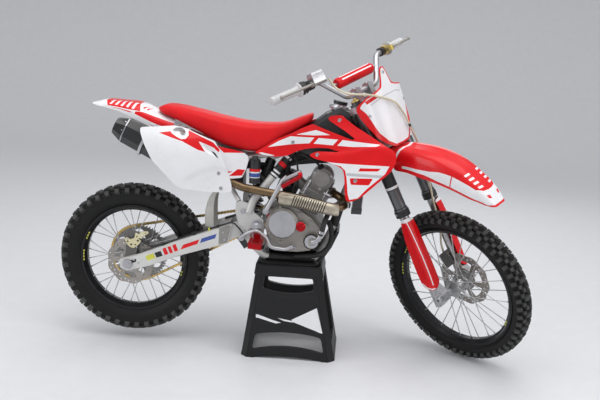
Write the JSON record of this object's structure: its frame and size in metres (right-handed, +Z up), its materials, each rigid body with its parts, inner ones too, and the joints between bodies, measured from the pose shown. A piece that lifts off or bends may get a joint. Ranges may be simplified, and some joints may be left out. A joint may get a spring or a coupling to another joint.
{
  "type": "small motocross motorcycle on a paddock stand",
  "caption": "Small off-road motorcycle with knobby wire wheels, upside-down fork and chain drive, held level on a moulded box stand, its steering turned to the right-hand stop.",
  "frame": {"origin": "on the floor under the middle of the stand, on the bike's mid-plane", "axes": "+X forward, +Y to the rider's left, +Z up"},
  "size_m": [1.8284, 0.6232, 1.2414],
  "materials": {
    "stand_plastic": "grained black moulding",
    "frame_paint": "light silver-grey paint",
    "engine_alloy": "cast alloy, satin",
    "cover_alloy": "cast and bead-blasted",
    "black_plastic": "satin black",
    "header_steel": "heat-tinted steel",
    "muffler_alloy": "dark brushed",
    "radiator_alloy": "dark core",
    "arm_alloy": "satin",
    "steel": "zinc plated",
    "spring_paint": "satin",
    "chain_brass": "gold plated side plates",
    "caliper_paint": "gold anodised",
    "seat_cover": "red vinyl",
    "tank_plastic": "dark grey moulding",
    "red_plastic": "gloss red moulding",
    "white_plastic": "gloss white moulding",
    "flap_rubber": "pale rubber",
    "fork_dark": "dark anodised",
    "bright_steel": "hard chrome and satin feet",
    "bar_alloy": "satin",
    "pad_foam": "red foam cover",
    "grip_rubber": "light grey rubber",
    "hose_rubber": "cream sleeve over rubber",
    "tyre": "knobby tread",
    "rim_black": "black anodised",
    "hub_alloy": "machined, with steel spokes",
    "disc_steel": "ground",
    "sprocket_alloy": "satin"
  },
  "bodies": {
    "chassis": {"stand": "stand_plastic", "main_frame": "frame_paint", "engine_cases": "engine_alloy", "engine_side_cover": "cover_alloy", "cylinder": "engine_alloy", "intake": "black_plastic", "exhaust_header": "header_steel", "muffler": "muffler_alloy", "radiators": "radiator_alloy", "swingarm": "arm_alloy", "rear_axle": "steel", "shock": "spring_paint", "chain_guide": "black_plastic", "chain": "chain_brass", "rear_caliper": "caliper_paint", "seat": "seat_cover", "fuel_tank": "tank_plastic", "shrouds": "red_plastic", "side_panels": "white_plastic", "rear_fender": "red_plastic", "mud_flap": "flap_rubber", "footpegs": "steel", "foot_controls": "steel", "engine_guard": "black_plastic"},
    "front_end": {"triple_clamps": "fork_dark", "fork_tubes": "fork_dark", "fork_legs": "bright_steel", "fork_guards": "red_plastic", "front_fender": "red_plastic", "front_plate": "white_plastic", "handlebar": "bar_alloy", "bar_pad": "pad_foam", "grips": "grip_rubber", "bar_controls": "arm_alloy", "front_caliper": "caliper_paint", "brake_hose": "hose_rubber"},
    "front_wheel": {"front_tyre": "tyre", "front_rim": "rim_black", "front_hub": "hub_alloy", "front_disc": "disc_steel"},
    "rear_wheel": {"rear_tyre": "tyre", "rear_rim": "rim_black", "rear_hub": "hub_alloy", "rear_disc": "disc_steel", "rear_sprocket": "sprocket_alloy"}
  },
  "joints": [
    {"name": "steering", "type": "hinge", "parent": "chassis", "child": "front_end", "pos_m": [0.5962, 0, 0.2894], "axis": [-0.4431, 0, 0.8965], "range_deg": [0, 86.8]},
    {"name": "front_wheel_spin", "type": "hinge", "parent": "front_end", "child": "front_wheel", "pos_m": [0.63456, -0.04047, 0.30836], "axis": [0.616, 0.7266, 0.3044], "continuous": true},
    {"name": "rear_wheel_spin", "type": "hinge", "parent": "chassis", "child": "rear_wheel", "pos_m": [-0.636, 0, 0.3316], "axis": [0, 1, 0], "continuous": true}
  ]
}
